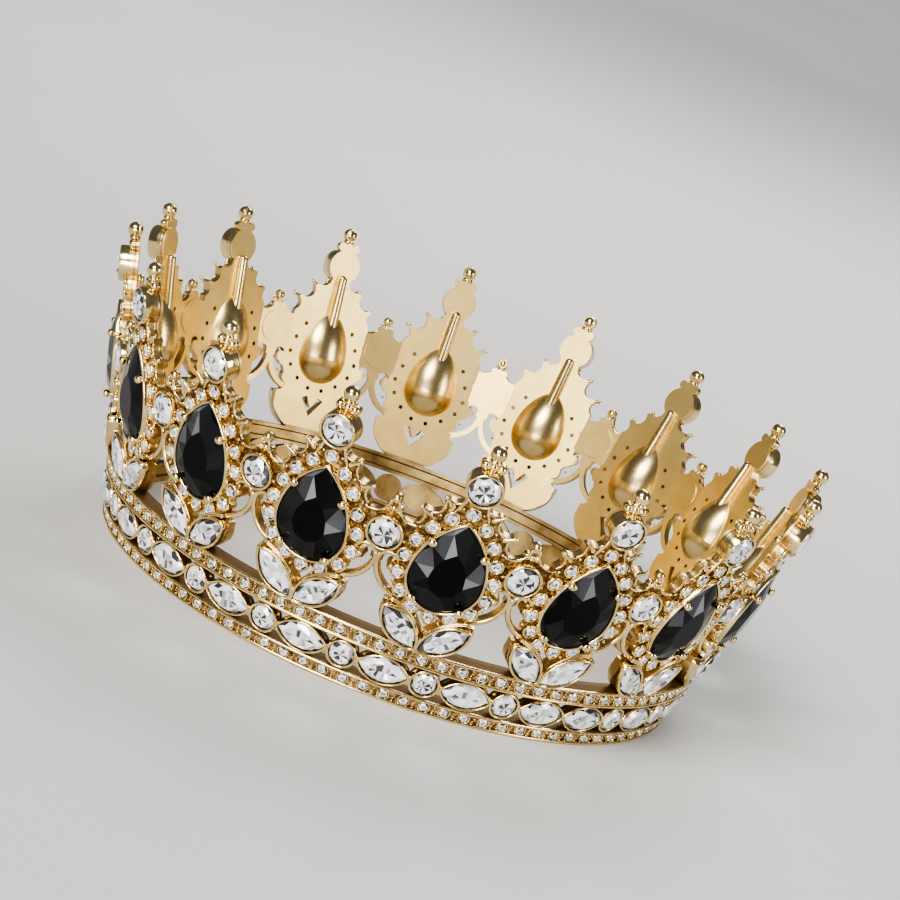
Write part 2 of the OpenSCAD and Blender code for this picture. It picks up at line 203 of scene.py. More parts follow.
def tube(part, path, radius, sides=8):
    """A round wire along a path that lies about flat on the wall, closed by small domes."""
    dome = 0.7  # height of a dome as a share of the radius
    path = np.asarray(path, float)
    count = len(path)
    radii = np.broadcast_to(np.asarray(radius, float), (count,))
    tangents = np.gradient(path, axis=0)
    tangents /= np.linalg.norm(tangents, axis=1)[:, None]
    points = []
    for p, tangent, r in zip(path, tangents, radii):
        side = np.cross(tangent, (0.0, 0.0, 1.0))
        side /= np.linalg.norm(side)
        top = np.cross(side, tangent)
        for i in range(sides):
            a = 2 * math.pi * i / sides
            points.append(p + r * math.cos(a) * side + r * math.sin(a) * top)
    faces = ring_faces(count, sides)
    for end, outward, order in ((0, -tangents[0], -1), (count - 1, tangents[-1], 1)):
        tip = len(points)
        points.append(path[end] + outward * radii[end] * dome)
        ring = [end * sides + i for i in range(sides)][::order]
        faces += [(ring[i], ring[(i + 1) % sides], tip) for i in range(sides)]
    part.add(points, faces)


def hoop(part, s, n, r):
    """A round wire all the way around the wall."""
    steps, sides = 192, 8
    radius = WALL_R + s * SIN + n * COS
    height = s * COS - n * SIN
    points = []
    for i in range(steps):
        a = 2 * math.pi * i / steps
        for j in range(sides):
            b = 2 * math.pi * j / sides
            q = radius + r * math.cos(b)
            points.append((q * math.cos(a), q * math.sin(a), height + r * math.sin(b)))
    last = (steps - 1) * sides
    closing = [(last + j, last + (j + 1) % sides, (j + 1) % sides, j) for j in range(sides)]
    part.add(points, ring_faces(steps, sides) + closing)


def ball(part, centre, r, sides, rows, squash=(1, 1, 1)):
    """A bead, or a squashed one."""
    points = [(0, 0, -1)]
    for j in range(1, rows):
        b = math.pi * j / rows - math.pi / 2
        for i in range(sides):
            a = 2 * math.pi * i / sides
            points.append((math.cos(b) * math.cos(a), math.cos(b) * math.sin(a), math.sin(b)))
    points.append((0, 0, 1))
    faces = [(0, 1 + (i + 1) % sides, 1 + i) for i in range(sides)]
    for j in range(rows - 2):
        for i in range(sides):
            a, b = 1 + j * sides + i, 1 + j * sides + (i + 1) % sides
            faces.append((a, b, b + sides, a + sides))
    top, last = 1 + (rows - 2) * sides, len(points) - 1
    faces += [(top + i, top + (i + 1) % sides, last) for i in range(sides)]
    part.add([tuple(centre[c] + r * squash[c] * p[c] for c in range(3)) for p in points], faces)


def arc(u, s, r, start, end, steps, n):
    """Points along an arc about a centre, from one angle to another, at height n."""
    angles = [math.radians(start + (end - start) * i / steps) for i in range(steps + 1)]
    return [(u + r * math.cos(a), s + r * math.sin(a), n) for a in angles]


def mirrored(path):
    """The same path on the other side of the panel's middle line."""
    return [(-p[0],) + tuple(p[1:]) for p in path]


# A path as it is given, and its mirror image
BOTH_SIDES = (list, mirrored)


# Outlines: each is a function of an offset, and lists its points around once
def pear(offset):
    """Pear outline, from the point and down the left side first."""
    side_r, end_r = SIDE_R + offset, PEAR_R + offset
    side_angle = math.acos(SIDE_X / side_r)
    left, end = [], []
    for i in range(PEAR_SIDE_STEPS):
        a = side_angle * (1 - i / PEAR_SIDE_STEPS)
        left.append((-(side_r * math.cos(a) - SIDE_X), PEAR_S + side_r * math.sin(a)))
    for i in range(PEAR_END_STEPS + 1):
        a = math.pi * i / PEAR_END_STEPS
        end.append((-end_r * math.cos(a), PEAR_S - end_r * math.sin(a)))
    return left + end + [(-x, y) for x, y in left[:0:-1]]


def leaf(half_length, half_width):
    """Leaf outline of two arcs; an offset moves its tips out further than its sides."""
    tip_share = 1.5

    def outline(offset):
        a, b = half_length + offset * tip_share, half_width + offset
        r = (a * a + b * b) / (2 * b)
        half = math.asin(a / r)
        angles = [-half + 2 * half * i / LEAF_STEPS for i in range(LEAF_STEPS)]
        top = [(-r * math.sin(t), r * math.cos(t) - (r - b)) for t in angles]
        return top + [(-x, -y) for x, y in top]
    return outline


def circle(radius, steps=ROUND_STEPS):
    """Round outline."""
    def outline(offset):
        angles = [2 * math.pi * i / steps for i in range(steps)]
        return [((radius + offset) * math.cos(a), (radius + offset) * math.sin(a)) for a in angles]
    return outline


def along(points, count, shift=0.0):
    """Points at equal steps along a closed outline, shifted by a part of a step."""
    closed = np.array(points + [points[0]])
    lengths = np.linalg.norm(np.diff(closed, axis=0), axis=1)
    reached = np.concatenate([[0], np.cumsum(lengths)])
    at = [((i + shift) / count % 1.0) * reached[-1] for i in range(count)]
    return [(float(np.interp(t, reached, closed[:, 0])), float(np.interp(t, reached, closed[:, 1])))
            for t in at]


# Materials
def new_material(name):
    """A material with its node tree and its shader."""
    material = bpy.data.materials.new(name)
    material.use_nodes = True
    tree = material.node_tree
    return material, tree, tree.nodes["Principled BSDF"]


def node(tree, kind, **values):
    """A node; each value goes to the input of that name, or else to the property."""
    made = tree.nodes.new(kind)
    for key, value in values.items():
        if isinstance(value, (int, float)) and key in made.inputs:
            made.inputs[key].default_value = value
        else:
            setattr(made, key, value)
    return made


def feed(tree, sockets, values):
    """Give each socket a number or tuple, or link it to an output."""
    for socket, value in zip(sockets, values):
        if isinstance(value, (int, float, tuple)):
            socket.default_value = value
        else:
            tree.links.new(value, socket)


def math_node(tree, operation, *values, clamp=False):
    """A calculation on numbers or outputs."""
    made = node(tree, "ShaderNodeMath", operation=operation, use_clamp=clamp)
    feed(tree, made.inputs, values)
    return made.outputs[0]


def vector_math(tree, operation, *values):
    """A calculation on vectors; a length or a dot product gives a number, and the others a vector."""
    made = node(tree, "ShaderNodeVectorMath", operation=operation)
    feed(tree, made.inputs, values)
    return made.outputs["Value" if operation in ("LENGTH", "DOT_PRODUCT") else "Vector"]


def split(tree, vector):
    """The X, Y and Z of a vector."""
    made = node(tree, "ShaderNodeSeparateXYZ")
    tree.links.new(vector, made.inputs[0])
    return made.outputs


def ramp(tree, factor, stops):
    """Colours at places from 0 to 1, blended between."""
    made = node(tree, "ShaderNodeValToRGB")
    elements = made.color_ramp.elements
    while len(elements) < len(stops):
        elements.new(0.5)
    for element, (position, colour) in zip(elements, stops):
        element.position = position
        element.color = (*colour, 1)
    tree.links.new(factor, made.inputs["Fac"])
    return made.outputs["Color"]


def mix_colour(tree, factor, a, b):
    """Colour a where the factor is 0 and b where it is 1; b may be a plain colour."""
    factor_in, a_in, b_in, colour_out = 0, 6, 7, 2
    made = node(tree, "ShaderNodeMix", data_type="RGBA")
    sockets = [made.inputs[i] for i in (factor_in, a_in, b_in)]
    feed(tree, sockets, (factor, a, (*b, 1) if isinstance(b, tuple) else b))
    return made.outputs[colour_out]


def noise(tree, scale, detail=3.0, roughness=0.5):
    """Fine noise fixed to the object; the scale is per metre."""
    made = node(tree, "ShaderNodeTexNoise", Scale=scale, Detail=detail, Roughness=roughness)
    tree.links.new(node(tree, "ShaderNodeTexCoord").outputs["Object"], made.inputs["Vector"])
    return made.outputs["Fac"]


def add_bump(tree, shader, height, strength, distance):
    """Raise the surface by a height from 0 to 1, over a distance in millimetres."""
    bump = node(tree, "ShaderNodeBump", Strength=strength, Distance=distance * MM)
    tree.links.new(height, bump.inputs["Height"])
    tree.links.new(bump.outputs["Normal"], shader.inputs["Normal"])


def fade(tree, value, limits):
    """0 at the first limit, 1 at the second and even between them; either may be the larger."""
    start, end = limits
    return math_node(tree, "MULTIPLY_ADD", value, 1 / (end - start), -start / (end - start), clamp=True)


def polished_gold():
    """Plated trim: colour and gloss vary a little, with fine casting grain."""
    material, tree, shader = new_material("polished_gold")
    dark, light = (0.66, 0.48, 0.21), (0.88, 0.71, 0.38)
    patch, haze, grain = noise(tree, 150.0), noise(tree, 345.0), noise(tree, 2600.0)
    tree.links.new(ramp(tree, patch, [(0.3, dark), (0.65, light)]), shader.inputs["Base Color"])
    shader.inputs["Metallic"].default_value = 1.0
    least_roughness, haze_roughness = 0.07, 0.16
    roughness = math_node(tree, "MULTIPLY_ADD", haze, haze_roughness, least_roughness)
    tree.links.new(roughness, shader.inputs["Roughness"])
    add_bump(tree, shader, grain, strength=0.10, distance=0.2)
    return material


def out_of_slope(tree, distance, z):
    """Millimetres out of the slope, for a distance from the axis and a height in metres."""
    level = math_node(tree, "MULTIPLY_ADD", distance, COS / MM, -WALL_R * COS)
    return math_node(tree, "MULTIPLY_ADD", z, -SIN / MM, level)


def wall_measures(tree):
    """Where a point of the frame lies and how it faces.

    The first three are in millimetres: out of the round wall, out of the flat middle of the nearest
    panel, and up the slope. The last is 1 where the surface faces straight out of the wall, -1 where
    it faces in and 0 on the sides of a cut.
    """
    at = node(tree, "ShaderNodeTexCoord").outputs
    x, y, z = split(tree, at["Object"])
    level = vector_math(tree, "MULTIPLY", at["Object"], (1, 1, 0))
    radius = vector_math(tree, "LENGTH", level)
    angle = math_node(tree, "PINGPONG", math_node(tree, "ARCTAN2", y, x), math.pi / PANELS)
    panel_radius = math_node(tree, "MULTIPLY", radius, math_node(tree, "COSINE", angle))
    foot = math_node(tree, "MULTIPLY_ADD", radius, SIN / MM, -WALL_R * SIN)
    s = math_node(tree, "MULTIPLY_ADD", z, COS / MM, foot)
    outward = vector_math(tree, "DOT_PRODUCT", vector_math(tree, "NORMALIZE", level), at["Normal"])
    facing = math_node(tree, "MULTIPLY_ADD", split(tree, at["Normal"])["Z"], -SIN,
                       math_node(tree, "MULTIPLY", outward, COS))
    return out_of_slope(tree, radius, z), out_of_slope(tree, panel_radius, z), s, facing


# Where the finishes of the frame lie: the measure at which each one is absent, and at which it is full.
# By height out of the wall: inner side, domes and ribs, raised trim, and the sides of cuts
BACK_N = (-1.0, -1.2)
DOME_N = (-2.35, -2.6)
RAISED_N = (1.4, 1.6)
CUT_N = (-1.7, -1.6)
# By height up the slope: top of the panels, band and rails
TOP_S = (60.5, 61.2)
BAND_FADE_S = (18.6, 18.2)
RAIL_FADE_S = (19.0, 18.7)
# Floors of the blind holes, painted nearly black as shade: out of the panel, up the slope and facing in
PIT_N = (-1.47, -1.43)
PIT_S = (27.0, 28.0)
PIT_FACING = (-0.4, -0.6)
# Sides of a cut, by how little they face out or in
CUT_FACING = (0.62, 0.42)

Masks = namedtuple("Masks", "raised back dome band rail cut pit")


def frame_masks(tree):
    """The share of each finish at a point of the frame."""
    n, panel_n, s, facing = wall_measures(tree)
    back = fade(tree, n, BACK_N)
    raised = math_node(tree, "MAXIMUM", fade(tree, n, RAISED_N), fade(tree, s, TOP_S))
    raised = math_node(tree, "MULTIPLY", raised, fade(tree, n, BACK_N[::-1]))
    rail = fade(tree, s, RAIL_FADE_S)
    cut = fade(tree, math_node(tree, "ABSOLUTE", facing), CUT_FACING)
    cut = math_node(tree, "MULTIPLY", cut, math_node(tree, "MAXIMUM", fade(tree, n, CUT_N), rail))
    cut = math_node(tree, "MULTIPLY", cut, math_node(tree, "SUBTRACT", 1.0, raised))
    pit = math_node(tree, "MULTIPLY", fade(tree, panel_n, PIT_N), fade(tree, s, PIT_S))
    pit = math_node(tree, "MULTIPLY", pit, fade(tree, facing, PIT_FACING))
    return Masks(raised, back, fade(tree, n, DOME_N), fade(tree, s, BAND_FADE_S), rail, cut, pit)


def frame_gold():
    """Satin on the inside, rust-brown in the recesses, grained on the rails and polished where raised;
    painted shade darkens the cuts in the rails and the floors of the blind holes.
    """
    material, tree, shader = new_material("frame_gold")
    mask = frame_masks(tree)
    grain = noise(tree, 900.0, 5.0, 0.6)
    patch = noise(tree, 170.0)

    recess = ramp(tree, grain, [(0.3, (0.03, 0.016, 0.008)), (0.5, (0.17, 0.100, 0.045)),
                                (0.7, (0.66, 0.50, 0.26))])
    grained = ramp(tree, grain, [(0.3, (0.05, 0.026, 0.012)), (0.48, (0.23, 0.145, 0.065)),
                                 (0.68, (0.72, 0.56, 0.30))])
    polish = ramp(tree, patch, [(0.3, (0.64, 0.46, 0.20)), (0.7, (0.86, 0.69, 0.36))])
    satin = ramp(tree, patch, [(0.25, (0.84, 0.60, 0.22)), (0.75, (0.96, 0.74, 0.31))])
    # Darker brown gold on the walls of the cuts outside the rails
    cut_wall = ramp(tree, patch, [(0.3, (0.42, 0.25, 0.09)), (0.7, (0.70, 0.50, 0.22))])
    # Darker, browner gold on the inside of the band
    inside_band = ramp(tree, patch, [(0.3, (0.22, 0.145, 0.06)), (0.7, (0.56, 0.42, 0.20))])
    dome = ramp(tree, patch, [(0.3, (0.56, 0.42, 0.19)), (0.7, (0.72, 0.56, 0.28))])
    # Painted shade, nearly black: on the walls of the cuts in the rails, their top faces too, and on the
    # floors of the blind holes
    painted_rail_shade, painted_pit_shade = (0.13, 0.08, 0.032), (0.02, 0.010, 0.004)

    front = mix_colour(tree, mask.raised, mix_colour(tree, mask.band, recess, grained), polish)
    inside = mix_colour(tree, mask.dome, mix_colour(tree, mask.band, satin, inside_band), dome)
    # Painted shade: the floors of the blind holes are nearly black, as a hole's dark inside
    inside = mix_colour(tree, mask.pit, inside, painted_pit_shade)
    faces = mix_colour(tree, mask.back, front, inside)
    # In the rails the walls of the cuts take painted shade
    colour = mix_colour(tree, mask.cut, faces, mix_colour(tree, mask.rail, cut_wall, painted_rail_shade))
    tree.links.new(colour, shader.inputs["Base Color"])
    shader.inputs["Metallic"].default_value = 1.0

    roughness = 0.40
    rail_cut = math_node(tree, "MULTIPLY", mask.cut, mask.rail)
    for factor, change in ((mask.raised, -0.20), (mask.back, -0.06), (mask.dome, -0.12),
                           (mask.cut, -0.12), (rail_cut, 0.35), (grain, 0.08)):
        roughness = math_node(tree, "MULTIPLY_ADD", factor, change, roughness)
    tree.links.new(roughness, shader.inputs["Roughness"])

    # The cast grain is full in the recesses and on the rails, and faint where raised or on the inside
    faint = 0.15
    cast = math_node(tree, "SUBTRACT", 1.0, math_node(tree, "MAXIMUM", mask.raised, mask.back))
    share = math_node(tree, "MULTIPLY_ADD", cast, 1 - faint, faint)
    add_bump(tree, shader, math_node(tree, "MULTIPLY", grain, share), strength=0.35, distance=0.3)
    return material


def face_value(tree, name):
    """The outputs of a value kept with each face of a mesh."""
    return node(tree, "ShaderNodeAttribute", attribute_name=name).outputs


def clear_glass():
    """Foil-backed crystal: each facet is painted with the bright foil's reflection or a dark one, some with
    faint painted blue and pink fire.

    A facet in the table is flat, so its normal is leaned as the pavilion facet under it lies.
    """
    material, tree, shader = new_material("clear_rhinestone")
    # Painted reflections: dark at low shades, the bright foil at high ones, with faint painted blue and pink
    # fire between them
    colour = ramp(tree, face_value(tree, "shade")["Fac"],
                  [(0.0, (0.006, 0.006, 0.007)), (0.4, (0.05, 0.052, 0.055)),
                   (0.72, (0.78, 0.79, 0.82)), (0.84, (0.84, 0.90, 1.0)),
                   (0.93, (1.0, 0.93, 0.96)), (1.0, (1.0, 1.0, 1.0))])
    tree.links.new(colour, shader.inputs["Base Color"])
    flat = node(tree, "ShaderNodeNewGeometry").outputs["Normal"]
    leaned = vector_math(tree, "ADD", flat, face_value(tree, "tilt")["Vector"])
    tree.links.new(vector_math(tree, "NORMALIZE", leaned), shader.inputs["Normal"])
    shader.inputs["Metallic"].default_value = 0.25
    shader.inputs["Roughness"].default_value = 0.15
    shader.inputs["Coat Weight"].default_value = 1.0
    shader.inputs["Coat Roughness"].default_value = 0.02
    return material


def black_glass():
    """Black glass, a little lighter on the facets that catch the light."""
    material, tree, shader = new_material("black_stone")
    colour = ramp(tree, face_value(tree, "shade")["Fac"],
                  [(0.0, (0.001, 0.001, 0.0012)), (1.0, (0.18, 0.186, 0.20))])
    tree.links.new(colour, shader.inputs["Base Color"])
    shader.inputs["Roughness"].default_value = 0.04
    shader.inputs["Specular IOR Level"].default_value = 0.11
    return material


# What a piece is made of, and the record's material slot for it
Finish = namedtuple("Finish", "material slot")
frame_metal = frame_gold()
GOLD = Finish(polished_gold(), "gold_metal")
CLEAR = Finish(clear_glass(), "clear_stone")
BLACK = Finish(black_glass(), "black_stone")
for cad_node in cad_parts.values():
    cad_node.data.materials.clear()
    cad_node.data.materials.append(frame_metal if cad_node.name == "frame" else CLEAR.material)

# Cuts: number of main facets, and the sizes of the table and of the ring where stars and girdle facets
# meet, as shares of the outline. Through the table of a clear stone the pavilion shows in painted
# reflections: every few of its facets are dark, they meet on a keel of that half length or at a point,
# and they run out to a jittered ring of at least the inner size. Dark facets take a shade from a range,
# also at the table's edge. Around the table, rim is the share of girdle facets painted dark, a painted
# reflection that draws the dark line beside the setting.
Cut = namedtuple("Cut", "mains table mid dark_every keel inner dark edge_dark rim",
                 defaults=(1, 0.0, 0.68, (0.0, 0.4), (0.1, 0.65), 0.35))
PEAR_CUT = Cut(10, 0.5, 0.92)
ROUND_CUT = Cut(8, 0.7, 0.86, 3)
LEAF_CUT = Cut(8, 0.72, 0.87, 4, keel=1.8, inner=0.85, dark=(0.3, 0.7), edge_dark=(0.4, 0.65))
MARQUISE_CUT = LEAF_CUT._replace(table=0.7, mid=0.86, keel=1.5)
CHIP_CUT = Cut(6, 0.58, 0.8, 2, rim=0.8)

FOOT_SIZE = 0.3

# Painted reflections as shades, from 0 for a dark one to 1 for the bright foil: of the girdle, pavilion
# and foot, of dark girdle facets and of bright facets in the table, and how far bright facets of the
# crown may fall below 1
GIRDLE_SHADE, PAVILION_SHADE, FOOT_SHADE = 0.55, 0.6, 0.4
RIM_DARK = (0.05, 0.45)
BRIGHT, EDGE_BRIGHT = (0.6, 1.0), (0.7, 1.0)
STAR_FALL, KITE_FALL, GIRDLE_FALL = 0.5, 0.8, 0.7
# On a black stone: share of its brightness that a lit facet gets, and the highest shade of the others
LIT_SHARE, UNLIT = (0.6, 1.0), 0.06

# In the table of a clear stone: the ring's size as a share of the table, its turn as a part of a step,
# how far the culet strays as a share of the radius, and how far along the keel a facet meets it as a
# share of its corner's distance
RING_SHARE, RING_TURN, CULET_STRAY, KEEL_SHARE = 0.86, 0.25, 0.1, 0.8
# Chances that a facet is dark: of the regular ones, and of the others in the middle and at the edge
REGULAR_DARK, STRAY_DARK, EDGE_STRAY_DARK = 0.8, 0.15, 0.2
# How far a facet's normal leans away from the middle, and how far that swings to a side in radians
MIDDLE_LEAN, EDGE_LEAN, SWING = (-0.1, -0.6), (-0.5, 0.3), (-0.5, 0.5)


class Gem(Part):
    """A brilliant cut: table, stars, kites, girdle facets, girdle and pavilion.

    The heights are those of foot, lower and upper edge of the girdle, mid ring and table. A clear stone
    has its centre at the origin and shows its pavilion in painted reflections, drawn flat in the table.
    A black stone has a plain table, and painted light on the facets that catch the light, with their
    brightness.
    """

    def __init__(self, outline, cut, heights, seed, centre=(0, 0), light=None):
        super().__init__()
        self.cut, self.heights, self.light = cut, heights, light
        self.rnd = random.Random(seed)
        self.centre, self.edge = np.array(centre), outline(0.0)
        self.cut_body()
        if light is None:
            self.cut_table()
        else:
            self.facet(tuple(range(cut.mains)), 0.0)

    def ring(self, count, scale, height, shift=0.0):
        """Points around the stone, drawn in to its centre by the scale."""
        return [tuple(self.centre + scale * (np.array(p) - self.centre)) + (height,)
                for p in along(self.edge, count, shift)]

    def facet(self, corners, shade, tilt=(0.0, 0.0, 0.0)):
        """One flat facet."""
        self.faces.append(corners)
        self.smooth.append(False)
        self.shades.append(shade)
        self.tilts.append(tilt)

    def crown_shade(self, number, fall):
        """Bright with a random fall; on a black stone black, but for the facets in the light."""
        if self.light is None:
            return 1.0 - fall * self.rnd.random() ** 2
        if number in self.light:
            return self.light[number] * self.rnd.uniform(*LIT_SHARE)
        return UNLIT * self.rnd.random()

    def girdle_shade(self, number):
        """A painted dark reflection on the cut's share of a clear stone's girdle facets, and else as the
        crown.
        """
        if self.light is None and self.rnd.random() < self.cut.rim:
            return self.rnd.uniform(*RIM_DARK)
        return self.crown_shade(number, GIRDLE_FALL)

    def lean(self, corner, amount):
        """A tilt away from the middle at that corner, swung a little to a side."""
        x, y, _ = self.points[corner]
        a = math.atan2(y, x) + self.rnd.uniform(*SWING)
        return amount * math.cos(a), amount * math.sin(a), 0.0

    def cut_body(self):
        """Crown, girdle and pavilion; kites count from the outline's start, with the others between."""
        n = self.cut.mains
        foot, low, high, mid, table = self.heights
        self.points = (self.ring(n, self.cut.table, table) + self.ring(n, self.cut.mid, mid, 0.5)
                       + self.ring(2 * n, 1, high) + self.ring(2 * n, 1, low)
                       + self.ring(2 * n, FOOT_SIZE, foot))
        mids, highs, lows, feet = n, 2 * n, 4 * n, 6 * n
        for i in range(n):
            after, before = (i + 1) % n, (i - 1) % n
            a, b, c = highs + 2 * i, highs + 2 * i + 1, highs + 2 * after
            self.facet((i, mids + i, after), self.crown_shade(i + 0.5, STAR_FALL))
            self.facet((i, mids + before, a, mids + i), self.crown_shade(i, KITE_FALL))
            self.facet((mids + i, a, b), self.girdle_shade(i + 0.25))
            self.facet((mids + i, b, c), self.girdle_shade(i + 0.75))
        for i in range(2 * n):
            j = (i + 1) % (2 * n)
            self.facet((highs + i, lows + i, lows + j, highs + j), GIRDLE_SHADE)
            self.facet((lows + i, feet + i, feet + j, lows + j), PAVILION_SHADE)
        self.facet(tuple(feet + i for i in reversed(range(2 * n))), FOOT_SHADE)

    def cut_table(self):
        """The pavilion as seen in the table, in painted reflections: facets from the middle to a ring, then
        on to the edge.
        """
        n, keel, every, rnd = self.cut.mains, self.cut.keel, self.cut.dark_every, self.rnd
        height = self.heights[-1]
        first = len(self.points)
        even = self.ring(2 * n, self.cut.table * RING_SHARE, height, RING_TURN * rnd.random())
        self.points += [tuple(rnd.uniform(self.cut.inner, 1.0) * np.array(p[:2])) + (height,)
                        for p in even]
        stray = 0 if keel else CULET_STRAY * self.edge[0][0]
        shift = [stray * rnd.uniform(-1, 1) for _ in range(2)] if stray else (0, 0)
        culets = {}

        def culet(corner):
            """The point of the keel below that corner, or the one culet of a stone without a keel."""
            x = round(max(-keel, min(keel, KEEL_SHARE * self.points[corner][0])), 5)
            if x not in culets:
                culets[x] = len(self.points)
                self.points.append((x + shift[0], shift[1], height))
            return culets[x]

        for i in range(2 * n):
            b, c = first + i, first + (i + 1) % (2 * n)
            a, d = culet(b), culet(c)
            is_dark = i % every == 0 and rnd.random() < REGULAR_DARK or rnd.random() < STRAY_DARK
            shade = rnd.uniform(*(self.cut.dark if is_dark else BRIGHT))
            corners = (a, b, c) if a == d else (a, b, c, d)
            self.facet(corners, shade, self.lean(b, rnd.uniform(*MIDDLE_LEAN)))
        for i in range(n):
            after = (i + 1) % n
            a, b, c = first + 2 * i, first + 2 * i + 1, first + 2 * after
            for step, corners in enumerate(((a, i, b), (b, i, after), (b, after, c))):
                is_dark = 2 * i % every == 0 and step == 0 or rnd.random() < EDGE_STRAY_DARK
                shade = rnd.uniform(*(self.cut.edge_dark if is_dark else EDGE_BRIGHT))
                self.facet(corners, shade, self.lean(i, rnd.uniform(*EDGE_LEAN)))


# Kinds of clear stone: outline, cut, heights, first seed and number of variants
Kind = namedtuple("Kind", "outline cut heights seed variants")
JOINER = Kind(circle(ROUND_R), ROUND_CUT, (-0.15, 1.1, 1.5, 2.2, 2.7), 200, 6)
LEAF = Kind(leaf(LEAF_A, LEAF_B), LEAF_CUT, (0.45, 1.6, 2.0, 2.7, 3.2), 300, 8)
MARQUISE = Kind(leaf(MARQUISE_A, MARQUISE_B), MARQUISE_CUT, (-0.25, 1.0, 1.4, 2.1, 2.6), 400, 8)
BAND_ROUND = Kind(circle(BAND_ROUND_R), ROUND_CUT, (-0.25, 0.9, 1.3, 1.9, 2.4), 500, 6)
HALO = Kind(circle(HALO_STONE_R), CHIP_CUT, (0.1, 0.55, 0.75, 1.05, 1.25), 600, 7)
RAIL = Kind(circle(RAIL_STONE_R), CHIP_CUT, (0.1, 0.45, 0.6, 0.85, 1.0), 700, 7)


def variants(kind):
    """The variants of a kind of stone."""
    return [Gem(kind.outline, kind.cut, kind.heights, kind.seed + i) for i in range(kind.variants)]


def pick(stones, i):
    """One of the variants, over and over in turn."""
    return stones[i % len(stones)]


# Stones: large ones have an object each, the others are fields of variants, turned unlike their neighbours
PEAR_RISE = 1.5  # from the round end's centre up to the point that a pear's facets surround
PEAR_CENTRE = (0, PEAR_S + PEAR_RISE)
PEAR_HEIGHTS = (-0.35, 1.6, 2.1, 2.7, 4.0)
SPIRE_HEIGHTS = (0.15, 1.9, 2.3, 3.0, 3.5)
SPIRE_SEED = 100
SPIRE_TURN, JOINER_TURN, BAND_ROUND_TURN, HALO_TURN, RAIL_TURN = 31, 47, 40, 33, 29

# Facets of a black stone in the light and their brightness, for four stones in turn. Kites count from
# the stone's point down its left side, stars lie halfway, and girdle facets at the quarters
TOP_LIGHT = {0.5: 1.0, 0.25: 0.5, 0.75: 0.7, 1: 0.3}
LEFT_KITE = {2: 0.35}
LEFT_LIGHT = {2: 0.35, 2.5: 1.0, 2.25: 0.4}
RIGHT_LIGHT = {7.5: 0.9, 8: 0.35, 7.75: 0.3}
PEAR_LIGHT = (TOP_LIGHT | LEFT_LIGHT | RIGHT_LIGHT, TOP_LIGHT, TOP_LIGHT | LEFT_KITE, TOP_LIGHT | RIGHT_LIGHT)

# Places of a halo's stones on its panel
HALO_SPOTS = along(pear(HALO_OFFSET), HALO_STONES)


def large_stones():
    """Black pears and the round stones at the tops of the panels."""
    for k in range(PANELS):
        number = "%02d" % (k + 1)
        light = PEAR_LIGHT[k % len(PEAR_LIGHT)]
        stone = Gem(pear, PEAR_CUT, PEAR_HEIGHTS, k, PEAR_CENTRE, light)
        make("pear_cut_" + number, [(stone, panel(k))], BLACK, ["pear_stone_" + number])
        stone = Gem(circle(ROUND_R), ROUND_CUT, SPIRE_HEIGHTS, SPIRE_SEED + k)
        make("spire_cut_" + number, [(stone, panel(k, 0, SPIRE_S, 0, SPIRE_TURN * k))], CLEAR,
             ["spire_stone_" + number])


def stone_fields():
    """Clear stones between the panels, under the pears and in the band."""
    stones = variants(JOINER)
    make("joiner_cut", [(pick(stones, k), joiner(k, JOINER_S, JOINER_TURN * k)) for k in range(PANELS)],
         CLEAR, ["joiner_stones"])
    stones = variants(LEAF)
    make("leaf_cut", [(pick(stones, 2 * k + (1 + side) // 2 + k // 3), leaf_place(k, side))
                      for k in range(PANELS) for side in (-1, 1)], CLEAR, ["leaf_stones"])
    stones = variants(MARQUISE)
    make("band_marquise_cut", [(pick(stones, 3 * i), band(i)) for i in range(MARQUISES)],
         CLEAR, ["band_marquises"])
    stones = variants(BAND_ROUND)
    make("band_round_cut", [(pick(stones, i), band(i + 0.5, BAND_ROUND_TURN * i))
                            for i in range(BAND_ROUNDS)], CLEAR, ["band_rounds"])


def small_stones():
    """Small stones around the pears and in the rails."""
    stones = variants(HALO)
    make("halo_stones", [(pick(stones, 5 * k + i), panel(k, u, s, HALO_N, HALO_TURN * i))
                         for k in range(PANELS) for i, (u, s) in enumerate(HALO_SPOTS)], CLEAR)
    stones = variants(RAIL)
    for rail in RAILS:
        make(rail.name + "_stones", [(pick(stones, 3 * i), on_rail(rail, i, RAIL_TURN * i))
                                     for i in range(rail.stones)], CLEAR)


# Settings of the small stones: profiles of the seats as offset and height, and grains as x, y and radius
HALO_SEAT_N = 0.3
HALO_SEAT = ((0.45, -0.4), (0.47, 0.7), (0.37, 1.02), (0.17, 1.14), (-0.03, 1.04), (-0.09, 0.4))
HALO_PRONG_OFFSETS, HALO_PRONG_N, HALO_PRONG_R = (0.55, 4.3), 0.55, 0.42
RAIL_SEAT = ((0.42, 0.2), (0.42, 0.72), (0.33, 0.9), (0.2, 0.93), (0.08, 0.8), (0.06, 0.3))
RAIL_GRAINS = ((0, -1.25, 0.34), (0, 1.25, 0.34), (0.12, 0.42, 0.27), (-0.1, -0.4, 0.27))
RAIL_GRAIN_N = 0.45
GRAIN_SIDES, GRAIN_ROWS = 8, 5


